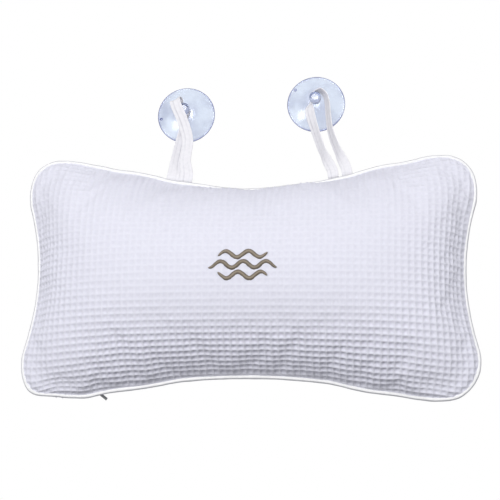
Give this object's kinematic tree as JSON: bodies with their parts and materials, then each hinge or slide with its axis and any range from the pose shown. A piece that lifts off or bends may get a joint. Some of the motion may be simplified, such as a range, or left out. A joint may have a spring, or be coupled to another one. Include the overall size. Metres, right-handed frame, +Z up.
{
  "type": "bath pillow",
  "caption": "Waisted bath pillow: piped waffle-cloth cover with a zip round a fibre-filled inner case, held to a bath by suction cups on tape loops.",
  "frame": {"origin": "middle of the flat bed on which the pillow lies on its back", "axes": "+X along the pillow, +Y across it towards the suction cups, +Z up from the bed to the crown"},
  "size_m": [0.333, 0.2597, 0.078],
  "materials": {
    "waffle_cloth": "white waffle weave",
    "case_cloth": "plain white weave",
    "fibre": "white fibre",
    "piping_cloth": "plain white weave cut on the bias",
    "zip_tape": "white herringbone tape",
    "strap_tape": "white folded twill tape",
    "clear_pvc": "clear pale blue, glossy",
    "zip_nylon": "moulded white",
    "zip_metal": "dark grey, satin"
  },
  "bodies": {
    "pillow": {"front_panel": "waffle_cloth", "back_panel": "waffle_cloth", "inner_case_front": "case_cloth", "inner_case_back": "case_cloth", "fibre_fill": "fibre", "piping_sleeve": "piping_cloth", "piping_cord": "fibre", "zip_tape_upper": "zip_tape", "zip_tape_lower": "zip_tape", "zip_teeth_upper": "zip_nylon", "zip_teeth_lower": "zip_nylon", "zip_top_stop_upper": "zip_metal", "zip_top_stop_lower": "zip_metal", "zip_bottom_stop": "zip_metal"},
    "left_strap": {"left_strap": "strap_tape"},
    "right_strap": {"right_strap": "strap_tape"},
    "left_cup": {"left_suction_cup": "clear_pvc"},
    "right_cup": {"right_suction_cup": "clear_pvc"},
    "zip_slider": {"zip_slider": "zip_metal"},
    "zip_pull": {"zip_pull_tab": "zip_metal"}
  },
  "joints": [
    {"name": "left_strap_swing", "type": "hinge", "parent": "pillow", "child": "left_strap", "pos_m": [-0.05347, 0.07514, 0.034], "axis": [0.9905, -0.1374, 0], "range_deg": [-90, 130]},
    {"name": "right_strap_swing", "type": "hinge", "parent": "pillow", "child": "right_strap", "pos_m": [0.06684, 0.07723, 0.034], "axis": [0.9851, 0.1717, 0], "range_deg": [-90, 130]},
    {"name": "left_cup_swivel", "type": "hinge", "parent": "left_strap", "child": "left_cup", "pos_m": [-0.05447, 0.13764, 0], "axis": [0, 0, 1], "continuous": true},
    {"name": "right_cup_swivel", "type": "hinge", "parent": "right_strap", "child": "right_cup", "pos_m": [0.04714, 0.14473, 0], "axis": [0, 0, 1], "continuous": true},
    {"name": "zip_travel", "type": "hinge", "parent": "pillow", "child": "zip_slider", "pos_m": [0, -0.55401, 0.0268], "axis": [0, 0, 1], "range_deg": [-26.42, 0], "deforming": ["zip_teeth_upper", "zip_teeth_lower"]},
    {"name": "zip_pull_flip", "type": "hinge", "parent": "zip_slider", "child": "zip_pull", "pos_m": [-0.11066, -0.08261, 0.02558], "axis": [0.0816, -0.3475, 0.9341], "range_deg": [-116, 44]}
  ]
}
